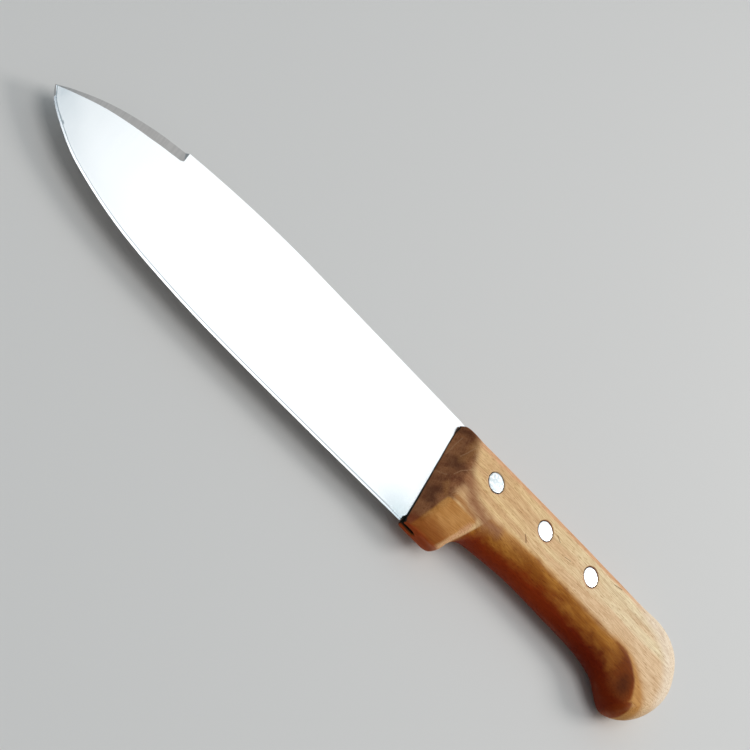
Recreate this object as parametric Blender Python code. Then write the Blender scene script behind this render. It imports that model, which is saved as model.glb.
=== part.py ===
"""A butcher knife with a one-piece wooden handle, lying on its side.

X runs from the point of the blade to the pommel, Y from the cutting edge to the spine, and Z up through the
thickness. The origin is the middle of the knife's footprint, on the surface that it lies on. The shape is
drawn from a simpler datum, where the front of the handle meets its spine, on the middle plane of the blade,
and one empty carries all the pieces from there to the origin. Everything is in metres.
"""

import math

import bmesh
import bpy
import numpy as np
from mathutils import Vector

# Blade
BLADE_LENGTH = 0.1973  # handle to point
HEEL_DEPTH = 0.0517  # spine line to the heel
EDGE_SWELL = 0.0017  # how much deeper than the heel the edge is at its deepest
HEEL_GAP = 0.0002  # heel to the wood behind it
POINT_DROP = 0.0277  # spine line to the point
BELLY_LENGTH = 0.096  # point to the deepest part of the edge
SPINE_PROUD = 0.0008  # blade's spine above the wood
SPINE_SLOPE = 0.021  # fall of the spine's straight part toward the point, in each unit of length
SPINE_STRAIGHT = 0.085  # straight part of the spine next to the handle
SPINE_FALL = 0.0043  # how far the spine has curved away from straight where the swedge starts
SPINE_BEND = 1.9  # how late the spine's curve sets in
BLADE_THICKNESS = 0.0022  # at the spine, next to the handle
POINT_THINNING = 0.35  # share of the thickness that is ground away by the point
EDGE_THICKNESS = 0.0006  # just above the sharpened bevel
EDGE_BEVEL = 0.0008  # width of the sharpened bevel

# Swedge, the false edge ground into the spine behind the point
SWEDGE_LENGTH = 0.0498
SWEDGE_WIDTH = 0.0043
SWEDGE_FULL = 0.0355  # point to where the swedge has its full width
SWEDGE_TAPER = 0.62  # how it narrows toward the point: less than 1 keeps it wide for longer
SWEDGE_STEP = 0.0006  # how much lower than the spine its rear end is ground
SWEDGE_THICKNESS = 0.0007  # what is left of the spine there
SWEDGE_PLUNGE = 0.0012  # length of the step at its rear end

# Tang, the part of the blade inside the handle
TANG_DEPTH = 0.0215
TANG_PAST_RIVET = 0.016  # tang behind the rear rivet
TANG_SHOULDER = 0.020  # front of the handle to where the tang is at its own depth
SLOT_CLEARANCE = 0.0003  # wood to tang, on every side
KERF_LENGTH = 0.0080  # how far the saw cut runs into the guard's underside

# Handle
HANDLE_LENGTH = 0.1469
HANDLE_THICKNESS = 0.018
SPINE_RISE = 0.0023  # spine line to the highest part of the pommel
SPINE_DIP = 0.0012  # spine line to the wood's front corner
SPINE_ROUND = 0.006  # width of the rounding along the spine
GRIP_DEPTH = 0.0352  # spine line to the belly of the grip
BELLY_ROUND = 0.0105  # width of the rounding along the belly
FRONT_WEAR = 0.0006  # how far the front of the wood lies behind the datum
GUARD_LENGTH = 0.0158
GUARD_DEPTH = 0.0522  # spine line to the underside of the guard
GUARD_ROUND = 0.0189  # width of the facet on the guard
GUARD_FOOT = 0.0036  # thickness of the guard's upright underside
GUARD_LEAN = 0.0029  # how much further forward the guard's foot is than the spine corner
POMMEL_DEPTH = 0.0453
POMMEL_ROUND = 0.010  # width of the rounding at the far end
HOOK_LENGTH = 0.0383  # far end to where the belly starts to drop into the pommel's hook
RAMP_LENGTH = 0.0088  # sanded ramp at the front, on both sides, measured at the spine
RAMP_SPREAD = 0.0030  # how much longer the ramp is at the guard's foot
RAMP_THICKNESS = 0.0046  # handle's thickness at its very front

# Rivets, drilled by hand: the middle of each, from the front of the handle and from the spine line
RIVET_RADIUS = 0.004
RIVET_CLEARANCE = 0.0003
RIVETS = {
    "rivet_front": (0.0222, -0.0134),
    "rivet_middle": (0.0525, -0.0120),
    "rivet_rear": (0.0819, -0.0111),
}

# Fineness of the meshes
CURVE_STEPS = 6  # points from one knot of an outline to the next
ROUNDING_STEPS = 10  # rings from the widest line of the handle to its flat face
ROUND_SIDES = 48
CUT_MARGIN = 0.004  # how far a cutter reaches past what it cuts


def clear_scene():
    """Starts from an empty scene."""
    for leftover in list(bpy.data.objects):
        bpy.data.objects.remove(leftover, do_unlink=True)


def smoothstep(value):
    """0 to 1 with a soft start and end."""
    value = min(max(value, 0.0), 1.0)
    return value * value * (3.0 - 2.0 * value)


def smooth_curve(knots, steps=CURVE_STEPS):
    """Points of a smooth curve through the knots. At each knot it heads along the line of its neighbours."""
    points = [Vector(knot) for knot in knots]
    last = len(points) - 1
    ahead = points[1:] + points[-1:]
    behind = points[:1] + points[:-1]
    headings = [(after - before).normalized() for before, after in zip(behind, ahead)]
    curve = []
    for i in range(last):
        reach = (points[i + 1] - points[i]).length
        for step in range(steps):
            t = step / steps
            curve.append(
                points[i] * (2 * t**3 - 3 * t**2 + 1)
                + headings[i] * reach * (t**3 - 2 * t**2 + t)
                + points[i + 1] * (3 * t**2 - 2 * t**3)
                + headings[i + 1] * reach * (t**3 - t**2)
            )
    return curve + [points[last]]


def height_along(curve):
    """A function that reads a curve's Y at any X, for a curve whose X only grows."""
    xs = [point[0] for point in curve]
    ys = [point[1] for point in curve]
    return lambda x: float(np.interp(x, xs, ys))


def new_object(name, mesh, parent, material=None):
    """Puts a mesh in the scene under the knife's datum."""
    obj = bpy.data.objects.new(name, mesh)
    bpy.context.scene.collection.objects.link(obj)
    obj.parent = parent
    if material:
        mesh.materials.append(material)
        mesh.shade_smooth()
        mesh.set_sharp_from_angle(angle=math.radians(30))
    return obj


def loft(name, rings, tip=None):
    """A closed mesh through rings of equally many points. It starts at the tip, or with a flat cap."""
    form = bmesh.new()
    rows = [[form.verts.new(point) for point in ring] for ring in rings]
    count = len(rows[0])
    for row, following in zip(rows, rows[1:]):
        for i in range(count):
            j = (i + 1) % count
            form.faces.new((row[i], row[j], following[j], following[i]))
    if tip is None:
        form.faces.new(reversed(rows[0]))
    else:
        point = form.verts.new(tip)
        for i in range(count):
            form.faces.new((point, rows[0][(i + 1) % count], rows[0][i]))
    form.faces.new(rows[-1])
    bmesh.ops.recalc_face_normals(form, faces=form.faces)
    mesh = bpy.data.meshes.new(name)
    form.to_mesh(mesh)
    form.free()
    return mesh


def plate(name, outline, low, high):
    """An outline in the XY plane, made solid from one height to another."""
    return loft(name, [[(x, y, z) for x, y in outline] for z in (low, high)])


def round_bar(name, radius, length):
    """A bar along Z, centred on its origin."""
    turns = [2 * math.pi * i / ROUND_SIDES for i in range(ROUND_SIDES)]
    outline = [(radius * math.cos(turn), radius * math.sin(turn)) for turn in turns]
    return plate(name, outline, -length / 2, length / 2)


def cut(obj, name, mesh, place=(0.0, 0.0, 0.0)):
    """Cuts a mesh out of an object with a Boolean, and keeps the cutter out of the render."""
    cutter = new_object(name, mesh, obj.parent)
    cutter.location = place
    cutter.hide_render = True
    cutter.display_type = "WIRE"
    boolean = obj.modifiers.new(name, "BOOLEAN")
    boolean.operation = "DIFFERENCE"
    boolean.solver = "EXACT"
    boolean.object = cutter


def finish(name, colour, metallic, roughness):
    """A plain material."""
    material = bpy.data.materials.new(name)
    material.use_nodes = True
    shader = material.node_tree.nodes["Principled BSDF"]
    shader.inputs["Base Color"].default_value = (*colour, 1.0)
    shader.inputs["Metallic"].default_value = metallic
    shader.inputs["Roughness"].default_value = roughness
    return material


def front_at(y):
    """X of the wood's slanted front at a height."""
    return FRONT_WEAR + GUARD_LEAN * y / GUARD_DEPTH


def half_steel(y, thinning=1.0):
    """Half of the steel's thickness at a height: a flat grind from the heel's depth up to the spine."""
    above_edge = min(max((y + HEEL_DEPTH) / HEEL_DEPTH, 0.0), 1.0)
    return 0.5 * (EDGE_THICKNESS + (BLADE_THICKNESS * thinning - EDGE_THICKNESS) * above_edge)


def tang_end():
    """X of the rear end of the tang."""
    return RIVETS["rivet_rear"][0] + TANG_PAST_RIVET


def wood_spine():
    """The handle's spine, as outline knots from the front corner to the pommel."""
    return [
        (0.0, -SPINE_DIP),
        (0.035, 0.0),
        (0.5 * HANDLE_LENGTH, 0.5 * SPINE_RISE),
        (HANDLE_LENGTH - 0.035, 0.85 * SPINE_RISE),
        (HANDLE_LENGTH - 0.018, SPINE_RISE),
    ]


def cutting_edge():
    """The cutting edge from the point to the heel."""
    sweep = HEEL_DEPTH + EDGE_SWELL - POINT_DROP
    near_point = ((0.0, 0.0), (0.025, 0.166), (0.096, 0.379), (0.219, 0.628))
    shares = (*near_point, (0.464, 0.868), (0.73, 0.97), (1.0, 1.0))
    knots = [(-BLADE_LENGTH + BELLY_LENGTH * along, -POINT_DROP - sweep * down) for along, down in shares]
    heel = Vector((front_at(-HEEL_DEPTH) - HEEL_GAP, -HEEL_DEPTH))
    belly = Vector(knots[-1])
    knots.append(belly.lerp(heel, 0.5) + Vector((0.0, -0.0003)))
    knots.append(heel)
    return smooth_curve(knots)


def blade_spine(x):
    """Y of the spine: straight next to the handle, then bending down to where the swedge starts."""
    bend = max(-x - SPINE_STRAIGHT, 0.0) / (BLADE_LENGTH - SWEDGE_LENGTH - SPINE_STRAIGHT)
    return SPINE_PROUD + SPINE_SLOPE * x - SPINE_FALL * bend**SPINE_BEND


def swedge_line():
    """The thinned spine from the point to the swedge's rear end."""
    start = -POINT_DROP
    rise = blade_spine(SWEDGE_LENGTH - BLADE_LENGTH) - SWEDGE_STEP - start
    shares = ((0.0, 0.0), (0.124, 0.212), (0.37, 0.545), (0.7, 0.837), (1.0, 1.0))
    return smooth_curve([(-BLADE_LENGTH + SWEDGE_LENGTH * along, start + rise * up) for along, up in shares])


def tang_floor(clearance=0.0):
    """The tang's lower edge from its shoulder to its rear end, which follows the run-out of a round saw."""
    end = tang_end() + clearance
    knots = [
        (TANG_SHOULDER, -TANG_DEPTH - clearance),
        (0.5 * (TANG_SHOULDER + end), -TANG_DEPTH - clearance),
        (end - 0.016, -TANG_DEPTH - clearance),
        (end - 0.006, -0.78 * TANG_DEPTH - clearance),
        (end, -0.4 * TANG_DEPTH - clearance),
    ]
    return smooth_curve(knots)


def blade_profile():
    """Three functions of X: the top of the blade and tang, their bottom, and the line of the cutting edge."""
    edge = cutting_edge()
    swedge = height_along(swedge_line())
    wood = height_along(smooth_curve(wood_spine()))
    heel = edge[-1]
    drop = [(0.0035, -0.75 * HEEL_DEPTH), (0.011, -0.52 * HEEL_DEPTH)]
    shoulder = smooth_curve([heel, *drop, tang_floor()[0]])
    edge_height = height_along(edge)
    floor_height = height_along(shoulder + tang_floor()[1:])
    plunge = SWEDGE_LENGTH - BLADE_LENGTH

    def top(x):
        if x < plunge:
            return swedge(x)
        if x < 0.0:
            return blade_spine(x)
        return SPINE_PROUD + (wood(x) - SPINE_PROUD) * smoothstep(x / TANG_SHOULDER)

    def bottom(x):
        return edge_height(x) if x < heel[0] else floor_height(x)

    return top, bottom, edge_height


def blade_rings():
    """Cross-sections of the blade and tang, from just behind the point to the rear end of the tang."""
    top, bottom, edge_line = blade_profile()
    heel_x = front_at(-HEEL_DEPTH) - HEEL_GAP
    plunge = SWEDGE_LENGTH - BLADE_LENGTH

    def half_thickness(x, y):
        """Half of the steel at a place, where the grind follows the curve of the edge."""
        edge = edge_line(x) if x < heel_x else -HEEL_DEPTH
        return half_steel(y - edge - HEEL_DEPTH, 1.0 - POINT_THINNING * max(-x, 0.0) / BLADE_LENGTH)

    def bevel_height(x):
        """Height of the sharpened bevel, which is measured square to the edge."""
        if x > heel_x:
            return 0.0
        slope = (bottom(x + 0.0005) - bottom(x)) / 0.0005
        return min(EDGE_BEVEL * math.hypot(1.0, slope), 0.35 * (top(x) - bottom(x)))

    def ring(x, in_swedge):
        high, low = top(x), bottom(x)
        width = SWEDGE_WIDTH
        if in_swedge:
            width *= min((x + BLADE_LENGTH) / SWEDGE_FULL, 1.0) ** SWEDGE_TAPER
            width = max(width, 0.02 * (high - low))
        shoulder = low + bevel_height(x)
        inner = high - width
        heights = [high, inner, inner + (shoulder - inner) / 3, inner + (shoulder - inner) * 2 / 3, shoulder]
        halves = [half_thickness(x, y) for y in heights]
        if in_swedge:
            halves[0] = min(0.5 * SWEDGE_THICKNESS, 0.8 * halves[1])
        side = list(zip(heights, halves))
        front = [(x, y, z) for y, z in side]
        back = [(x, y, -z) for y, z in reversed(side)]
        return front + [(x, low, 0.0)] + back

    swedge_end = SWEDGE_LENGTH - SWEDGE_PLUNGE
    ahead = [-BLADE_LENGTH + swedge_end * (i / 18) ** 1.7 for i in range(1, 19)]
    body = np.linspace(plunge, heel_x, 22).tolist()
    inside = np.linspace(heel_x, tang_end(), 44).tolist()[1:]
    rings = [ring(x, True) for x in ahead]
    rings += [ring(x, False) for x in body + inside]
    return rings


def make_blade(parent):
    """Blade and tang, forged and ground from one bar."""
    steel = finish("blade_steel", (0.78, 0.80, 0.82), 1.0, 0.3)
    mesh = loft("blade", blade_rings(), tip=(-BLADE_LENGTH, -POINT_DROP, 0.0))
    blade = new_object("blade", mesh, parent, steel)
    for name, place in RIVETS.items():
        drill = round_bar("tang_drill", RIVET_RADIUS + RIVET_CLEARANCE, BLADE_THICKNESS + CUT_MARGIN)
        cut(blade, "tang_hole_" + name, drill, (*place, 0.0))
    return blade


def handle_knots():
    """The handle's outline, from the spine round the pommel and along the belly to the guard's foot.

    Each knot has a point on the widest line of the handle, the point of the flat face across from it, and the
    section between the two, as rounding() takes it.
    """
    end, grip, guard, pommel = HANDLE_LENGTH, -GRIP_DEPTH, -GUARD_DEPTH, -POMMEL_DEPTH
    grip_flat = grip + BELLY_ROUND
    guard_flat = guard + GUARD_ROUND
    behind = GUARD_LENGTH
    hook_start = end - HOOK_LENGTH
    corner = -SPINE_DIP
    corner_flat = corner - SPINE_ROUND
    tight = (0.0, 2.0, 2.2)
    hook = (0.0, 2.0, 1.6)
    belly = (0.0, 2.0, 1.25)
    facet = (GUARD_FOOT / HANDLE_THICKNESS, 1.9, 1.0)
    return [
        ((front_at(corner), corner), (front_at(corner_flat), corner_flat), tight),
        *[((x, y), (x, y - SPINE_ROUND), tight) for x, y in wood_spine()[1:]],
        ((end - 0.0045, -0.0024), (end - 0.0029 - POMMEL_ROUND, -0.0110), tight),
        ((end, -0.0179), (end - POMMEL_ROUND, -0.0200), tight),
        ((end - 0.0046, pommel + 0.0141), (end - 0.0019 - POMMEL_ROUND, pommel + 0.0163), tight),
        ((end - 0.0126, pommel + 0.0045), (end - 0.0165, pommel + 0.0093), hook),
        ((end - 0.0222, pommel), (end - 0.0195, pommel + 0.0058), hook),
        ((end - 0.0293, pommel + 0.0019), (end - 0.0211, pommel + 0.0058), belly),
        ((hook_start + 0.0052, grip - 0.0059), (hook_start + 0.0159, pommel + 0.0103), belly),
        ((hook_start, grip - 0.0026), (hook_start + 0.0124, grip + 0.0062), belly),
        ((hook_start - 0.0117, grip - 0.0005), (hook_start + 0.0033, grip_flat + 0.0005), belly),
        ((0.55 * end, grip - 0.0002), (0.61 * end, grip_flat + 0.0019), belly),
        ((0.37 * end, grip), (0.42 * end, grip_flat - 0.0001), belly),
        ((behind + 0.0203, grip - 0.0018), (behind + 0.0222, grip_flat - 0.0028), belly),
        ((behind + 0.0098, grip - 0.0035), (behind + 0.0112, guard_flat + 0.0018), belly),
        ((behind + 0.0032, guard + 0.0071), (behind + 0.0052, guard_flat - 0.0007), facet),
        ((behind, guard + 0.0010), (behind - 0.0023, guard_flat), facet),
        ((behind - 0.0068, guard), (behind - 0.0078, guard_flat), facet),
        ((front_at(guard), guard), (front_at(guard_flat), guard_flat), facet),
    ]


def rounding(rise, wall, bow, fullness):
    """How far out the handle stands at a share of its half thickness, from 0 at the flat face to 1.

    It stands upright for the share called wall. From there a bow of 1 makes a flat facet and 2 a round one,
    and a fullness over 1 ends it in a softer, tighter corner at the flat face.
    """
    beyond = max((abs(rise) - wall) / (1.0 - wall), 0.0)
    return max(1.0 - beyond**bow, 0.0) ** (1.0 / fullness)


def handle_rings():
    """Outlines of the handle from its lower flat face over the widest line to its upper flat face."""
    knots = handle_knots()
    widest = smooth_curve([knot[0] for knot in knots])
    flat = smooth_curve([knot[1] for knot in knots])
    places = [i / CURVE_STEPS for i in range(len(widest))]
    sections = [np.interp(places, range(len(knots)), values) for values in zip(*(knot[2] for knot in knots))]
    stations = list(zip(widest, flat, zip(*sections)))
    rings = []
    for step in range(-ROUNDING_STEPS, ROUNDING_STEPS + 1):
        rise = math.sin(0.5 * math.pi * step / ROUNDING_STEPS)
        height = 0.5 * HANDLE_THICKNESS * rise
        ring = [inner.lerp(outer, rounding(rise, *section)) for outer, inner, section in stations]
        rings.append([(x, y, height) for x, y in ring])
    return rings


def slot_outline():
    """Side view of the tang's saw cut: open along the spine, at the front and a little under the guard."""
    floor = tang_floor(SLOT_CLEARANCE)
    above = SPINE_RISE + CUT_MARGIN
    below = -GUARD_DEPTH - CUT_MARGIN
    ahead = -GUARD_LEAN - CUT_MARGIN
    foot = front_at(-GUARD_DEPTH) + KERF_LENGTH
    kerf = [(foot, -GUARD_DEPTH), (foot + 0.0028, -0.8 * GUARD_DEPTH), (foot + 0.0085, -0.55 * GUARD_DEPTH)]
    kerf = smooth_curve([*kerf, floor[0]])
    return [(foot, below), *kerf, *floor[1:], (floor[-1][0], above), (ahead, above), (ahead, below)]


def slot_cutter():
    """The saw cut for the tang, which narrows from the spine to the guard's foot as the steel does."""
    mesh = plate("tang_slot", slot_outline(), -1.0, 1.0)
    for vertex in mesh.vertices:
        vertex.co.z *= half_steel(vertex.co.y) + SLOT_CLEARANCE
    return mesh


def ramp_cutter(side):
    """A wedge that takes the sanded ramp off the front of the handle, on its upper (1) or lower (-1) side."""
    flat = 0.5 * HANDLE_THICKNESS
    rings = []
    for y in (-GUARD_DEPTH - CUT_MARGIN, SPINE_RISE + CUT_MARGIN):
        length = RAMP_LENGTH - RAMP_SPREAD * y / GUARD_DEPTH
        slope = (flat - 0.5 * RAMP_THICKNESS) / length
        ahead = front_at(y) - CUT_MARGIN
        behind = front_at(y) + length + CUT_MARGIN
        low = 0.5 * RAMP_THICKNESS - slope * CUT_MARGIN
        high = flat + slope * CUT_MARGIN
        rings.append([(x, y, side * z) for x, z in ((ahead, low), (behind, high), (ahead, high))])
    return loft("ramp_cutter", rings)


def make_handle(parent):
    """One piece of hardwood: a guard, a flat-sided grip with a rounded belly, and a hooked pommel."""
    wood = finish("handle_wood", (0.45, 0.25, 0.10), 0.0, 0.55)
    handle = new_object("handle", loft("handle", handle_rings()), parent, wood)
    cut(handle, "upper_ramp", ramp_cutter(1))
    cut(handle, "lower_ramp", ramp_cutter(-1))
    cut(handle, "tang_slot", slot_cutter())
    for name, place in RIVETS.items():
        drill = round_bar("handle_drill", RIVET_RADIUS + RIVET_CLEARANCE, HANDLE_THICKNESS + CUT_MARGIN)
        cut(handle, "handle_hole_" + name, drill, (*place, 0.0))
    return handle


def make_rivets(parent):
    """Three aluminium pins through handle and tang, ground flush with both sides."""
    aluminium = finish("rivet_aluminium", (0.86, 0.86, 0.87), 1.0, 0.35)
    for name, place in RIVETS.items():
        rivet = new_object(name, round_bar(name, RIVET_RADIUS, HANDLE_THICKNESS), parent, aluminium)
        rivet.location = (*place, 0.0)


def make_datum():
    """The empty that carries the knife, placed so that the origin is the middle of the footprint."""
    rings = blade_rings() + handle_rings()
    xs = [point[0] for ring in rings for point in ring] + [-BLADE_LENGTH]
    ys = [point[1] for ring in rings for point in ring]
    datum = bpy.data.objects.new("knife_datum", None)
    bpy.context.scene.collection.objects.link(datum)
    datum.location = (-0.5 * (min(xs) + max(xs)), -0.5 * (min(ys) + max(ys)), 0.5 * HANDLE_THICKNESS)
    return datum


def build_knife():
    """Makes the whole knife."""
    clear_scene()
    datum = make_datum()
    make_blade(datum)
    make_handle(datum)
    make_rivets(datum)
    print("knife datum at", [round(value, 5) for value in datum.location])


build_knife()
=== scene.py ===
# %% [markdown]
# This lesson finishes a butcher knife that lies on its side on a pale table. The knife has five pieces: a
# ground steel blade whose tang runs into the handle, a handle of one piece of walnut, and three aluminium
# rivets. The CAD model already gives each piece its true size and place, so this script only dresses it:
# finer meshes, procedural materials, a floor, soft light and a camera.

# %% Load the frame
import math

import bmesh
import bpy
import numpy as np
from mathutils import Matrix, Vector, noise
from mathutils.bvhtree import BVHTree


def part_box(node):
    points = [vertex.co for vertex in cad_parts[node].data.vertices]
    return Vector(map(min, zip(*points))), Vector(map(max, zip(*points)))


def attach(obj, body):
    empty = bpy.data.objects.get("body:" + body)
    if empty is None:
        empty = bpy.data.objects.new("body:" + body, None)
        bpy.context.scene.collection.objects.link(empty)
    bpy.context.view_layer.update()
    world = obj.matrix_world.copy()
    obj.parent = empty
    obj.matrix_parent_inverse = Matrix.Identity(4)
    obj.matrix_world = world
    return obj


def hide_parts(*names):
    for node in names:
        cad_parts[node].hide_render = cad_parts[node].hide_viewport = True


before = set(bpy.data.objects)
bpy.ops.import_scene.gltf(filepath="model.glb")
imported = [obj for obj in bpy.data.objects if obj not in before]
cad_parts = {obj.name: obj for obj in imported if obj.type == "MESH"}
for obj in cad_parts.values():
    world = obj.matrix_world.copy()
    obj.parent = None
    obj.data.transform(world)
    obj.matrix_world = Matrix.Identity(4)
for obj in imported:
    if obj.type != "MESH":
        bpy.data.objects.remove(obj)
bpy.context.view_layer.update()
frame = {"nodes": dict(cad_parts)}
print("pieces of the knife:", ", ".join(frame["nodes"]))

# %% [markdown]
# A knife is easiest to describe from one corner: where the front of the handle meets its spine, on the
# middle plane of the blade. X runs back along the handle, Y up to the spine and Z through the thickness.
# The front rivet was drilled at a known distance from that corner, so its box tells where the corner is in
# the frame.

# %% Find the knife's datum
RIVETS = ("rivet_front", "rivet_middle", "rivet_rear")
FRONT_RIVET = Vector((0.0222, -0.0134, 0.0))


def box_middle(node):
    """The middle of a CAD node's box."""
    low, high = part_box(node)
    return (Vector(low) + Vector(high)) / 2


datum = box_middle("rivet_front") - FRONT_RIVET
print("knife datum, in mm:", [round(1000 * value, 2) for value in datum])

# %% [markdown]
# The camera stands over the cutting edge, near the point, and looks down at the blade. It could be aimed
# with three rotation angles, but a place, a point to look at and a roll say more to a reader. A long lens
# keeps the knife's proportions calm.

# %% Set the camera
CAMERA_PLACE = Vector((-0.25639, -0.36034, 0.43017))
CAMERA_TARGET = Vector((-0.04123, -0.01343, 0.0))
CAMERA_ROLL = math.radians(71.0)
LENS = 76.8  # mm
SENSOR_WIDTH = 36.0  # mm

camera = bpy.data.objects.new("camera", bpy.data.cameras.new("camera"))
bpy.context.scene.collection.objects.link(camera)
camera.data.lens = LENS
camera.data.sensor_width = SENSOR_WIDTH
aim = (CAMERA_TARGET - CAMERA_PLACE).to_track_quat("-Z", "Y").to_matrix().to_4x4()
camera.matrix_world = Matrix.Translation(datum + CAMERA_PLACE) @ aim @ Matrix.Rotation(CAMERA_ROLL, 4, "Z")
bpy.context.scene.camera = camera
bpy.context.scene.view_settings.view_transform = "Standard"
print("camera to knife:", round((CAMERA_TARGET - CAMERA_PLACE).length, 3), "m")

# %% [markdown]
# Every surface here gets its look from shader nodes. Three small helpers keep that readable: one adds a
# node and fills its inputs, one does arithmetic, and one turns a range of values into another with soft
# ends.

# %% Helpers for shader nodes
def node(tree, kind, inputs=None, **settings):
    """Adds a node. An input is given by name or number, as a value or as a socket to link."""
    made = tree.nodes.new(kind)
    for key, value in settings.items():
        setattr(made, key, value)
    for key, value in (inputs or {}).items():
        if isinstance(value, bpy.types.NodeSocket):
            tree.links.new(value, made.inputs[key])
        else:
            made.inputs[key].default_value = value
    return made


def maths(tree, operation, *values):
    """The result of a Math node."""
    return node(tree, "ShaderNodeMath", dict(enumerate(values)), operation=operation).outputs[0]


def vectors(tree, operation, *values, output="Vector"):
    """The result of a Vector Math node."""
    return node(tree, "ShaderNodeVectorMath", dict(enumerate(values)), operation=operation).outputs[output]


def soft_range(tree, value, start, end, low=0.0, high=1.0):
    """Turns start to end into low to high, with a soft start and end."""
    inputs = {"Value": value, "From Min": start, "From Max": end, "To Min": low, "To Max": high}
    return node(tree, "ShaderNodeMapRange", inputs, interpolation_type="SMOOTHSTEP").outputs["Result"]


def blended(tree, share, first, second, blend="MIX"):
    """Two colours mixed by a share."""
    inputs = {0: share, 6: first, 7: second}
    return node(tree, "ShaderNodeMix", inputs, data_type="RGBA", blend_type=blend).outputs[2]


# %% [markdown]
# Steel has hardly a colour of its own: it shows what it faces. From this camera the flat of the blade faces
# one part of the sky, low over the spine, so the sky gets a wide white window there and stays a cool grey
# elsewhere. The window's soft ends give the blade its fade toward the point and the heel. To the camera
# itself the sky is pale like the floor, which a Light Path node can tell apart.

# %% Paint the sky
SKY_GREY = (0.36, 0.45, 0.51, 1.0)
SKY_SHADE = (0.24, 0.25, 0.26, 1.0)  # the side that the camera stands on
SKY_WINDOW = (1.22, 1.25, 1.26, 1.0)
BACKDROP = (0.62, 0.62, 0.61, 1.0)
WINDOW_SWEEP = (3, 16, 37, 45)  # degrees from +Y toward +X: where it starts, is full, ends and is gone
WINDOW_RISE = (30, 40, 55, 64)  # degrees over the horizon, in the same way

world = bpy.data.worlds.new("studio")
world.use_nodes = True
bpy.context.scene.world = world
sky = world.node_tree
sky.nodes.clear()
toward = node(sky, "ShaderNodeSeparateXYZ", {0: node(sky, "ShaderNodeTexCoord").outputs["Generated"]})
sweep = maths(sky, "ARCTAN2", toward.outputs["X"], toward.outputs["Y"])
rise = maths(sky, "ARCSINE", toward.outputs["Z"])


def window(angle, degrees):
    """1 inside a range of angles, and 0 outside it."""
    start, full, ending, gone = (math.radians(degree) for degree in degrees)
    return maths(sky, "MULTIPLY", soft_range(sky, angle, start, full), soft_range(sky, angle, gone, ending))


seen = maths(sky, "MULTIPLY", window(sweep, WINDOW_SWEEP), window(rise, WINDOW_RISE))
around = blended(sky, soft_range(sky, toward.outputs["Y"], -0.5, 0.5), SKY_SHADE, SKY_GREY)
light = node(sky, "ShaderNodeBackground", {"Color": blended(sky, seen, around, SKY_WINDOW)})
plain = node(sky, "ShaderNodeBackground", {"Color": BACKDROP})
is_camera = node(sky, "ShaderNodeLightPath").outputs["Is Camera Ray"]
either = node(sky, "ShaderNodeMixShader", {0: is_camera, 1: light.outputs[0], 2: plain.outputs[0]})
node(sky, "ShaderNodeOutputWorld", {"Surface": either.outputs[0]})
print("sky window:", WINDOW_SWEEP[2] - WINDOW_SWEEP[1], "degrees wide")

# %% [markdown]
# Two soft boxes do the rest. The larger one hangs overhead: it lights the flat sides evenly and puts a
# bright line on the sharpened edge. The other stands beyond the pommel on the spine's side, so the belly of
# the handle and the sanded ramp behind the blade turn into the shade. Area lamps give soft shadows by their
# size.

# %% Hang the lamps
LAMPS = {
    "overhead_softbox": {"place": (0.08, -0.02, 1.15), "size": 0.80, "power": 3.9},
    "pommel_softbox": {"place": (0.95, 0.55, 0.75), "size": 0.45, "power": 6.3},
}

for name, lamp in LAMPS.items():
    data = bpy.data.lights.new(name, "AREA")
    data.size = lamp["size"]
    data.energy = lamp["power"]
    softbox = bpy.data.objects.new(name, data)
    bpy.context.scene.collection.objects.link(softbox)
    softbox.location = lamp["place"]
    softbox.rotation_euler = (datum - softbox.location).to_track_quat("-Z", "Y").to_euler()
    print(name, "is", round((datum - softbox.location).length, 2), "m away")

# %% [markdown]
# The table is plain and pale. A single plane would do, but its far edge would draw a line across the views
# from low down, so it is a wide round disc, nearly as pale as the sky's backdrop. It lies a hair below the
# knife.

# %% Lay the floor
FLOOR_RADIUS = 6.0
FLOOR_DROP = 0.0001
FLOOR_COLOUR = (0.715, 0.685, 0.655, 1.0)
FLOOR_ROUGHNESS = 0.9
FLOOR_SPECULAR = 0.1


def new_object(name, mesh):
    """Puts a mesh in the scene."""
    made = bpy.data.objects.new(name, mesh)
    bpy.context.scene.collection.objects.link(made)
    return made


def new_material(name):
    """A material with a Principled shader: its node tree and the shader."""
    made = bpy.data.materials.new(name)
    made.use_nodes = True
    return made, made.node_tree, made.node_tree.nodes["Principled BSDF"]


disc = bmesh.new()
bmesh.ops.create_circle(disc, cap_ends=True, segments=64, radius=FLOOR_RADIUS)
floor_mesh = bpy.data.meshes.new("floor")
disc.to_mesh(floor_mesh)
disc.free()
floor = new_object("floor", floor_mesh)
floor.location.z = -FLOOR_DROP
floor_paint, _, floor_shader = new_material("pale_floor")
floor_shader.inputs["Base Color"].default_value = FLOOR_COLOUR
floor_shader.inputs["Roughness"].default_value = FLOOR_ROUGHNESS
floor_shader.inputs["Specular IOR Level"].default_value = FLOOR_SPECULAR
floor_mesh.materials.append(floor_paint)
print("floor:", FLOOR_RADIUS, "m in radius")

# %% [markdown]
# The CAD meshes come as separate triangles with their own normals. To finish one, it is copied and welded,
# so that its corners are shared. The copy is written from plain points and faces, which leaves the old
# normals behind. The CAD piece stays in the frame for the physics, and the copy stands for it.

# %% Copy a CAD piece
WELD = 1e-6


def welded_form(node_name):
    """A bmesh of a CAD node with its points welded."""
    form = bmesh.new()
    form.from_mesh(frame["nodes"][node_name].data)
    bmesh.ops.remove_doubles(form, verts=form.verts, dist=WELD)
    return form


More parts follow.
